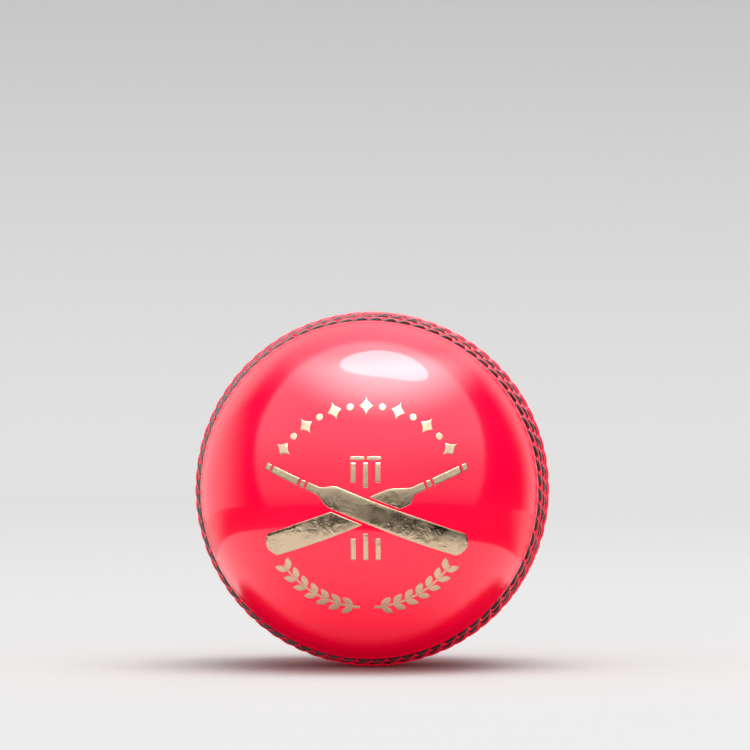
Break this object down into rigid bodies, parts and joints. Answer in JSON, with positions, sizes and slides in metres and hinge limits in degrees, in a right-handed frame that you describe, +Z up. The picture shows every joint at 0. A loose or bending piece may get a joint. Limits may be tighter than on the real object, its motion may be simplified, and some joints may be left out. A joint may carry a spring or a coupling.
{
  "type": "cricket ball",
  "caption": "Two-piece pink leather cricket ball with a raised stitched seam, over a cork and wool-wound core.",
  "frame": {"origin": "centre of the ball", "axes": "+Y along the axis that the ball is turned about, square to the join between the cups, away from the stamped side; +Z up; the join lies in the XZ plane"},
  "size_m": [0.0728, 0.0716, 0.0728],
  "materials": {
    "pink_leather": "high-gloss lacquered pink leather",
    "gold_foil": "bright hot-stamped metal foil",
    "black_thread": "waxed twisted linen thread",
    "wool_yarn": "undyed worsted yarn",
    "cork": "cut cork",
    "cork_rubber": "moulded cork granules in rubber"
  },
  "bodies": {
    "root": {"cork_rubber_core": "cork_rubber", "wool_winding_inner": "wool_yarn", "cork_strip_inner_1": "cork", "cork_strip_inner_2": "cork", "cork_strip_inner_3": "cork", "cork_strip_inner_4": "cork", "cork_strip_inner_5": "cork", "cork_strip_inner_6": "cork", "wool_winding_middle": "wool_yarn", "cork_strip_outer_1": "cork", "cork_strip_outer_2": "cork", "cork_strip_outer_3": "cork", "cork_strip_outer_4": "cork", "cork_strip_outer_5": "cork", "cork_strip_outer_6": "cork", "wool_winding_outer": "wool_yarn", "leather_cup_front": "pink_leather", "leather_cup_back": "pink_leather", "primary_stitch_row_front": "black_thread", "primary_stitch_row_back": "black_thread", "middle_stitch_row_front": "black_thread", "middle_stitch_row_back": "black_thread", "outer_stitch_row_front": "black_thread", "outer_stitch_row_back": "black_thread"}
  },
  "joints": []
}
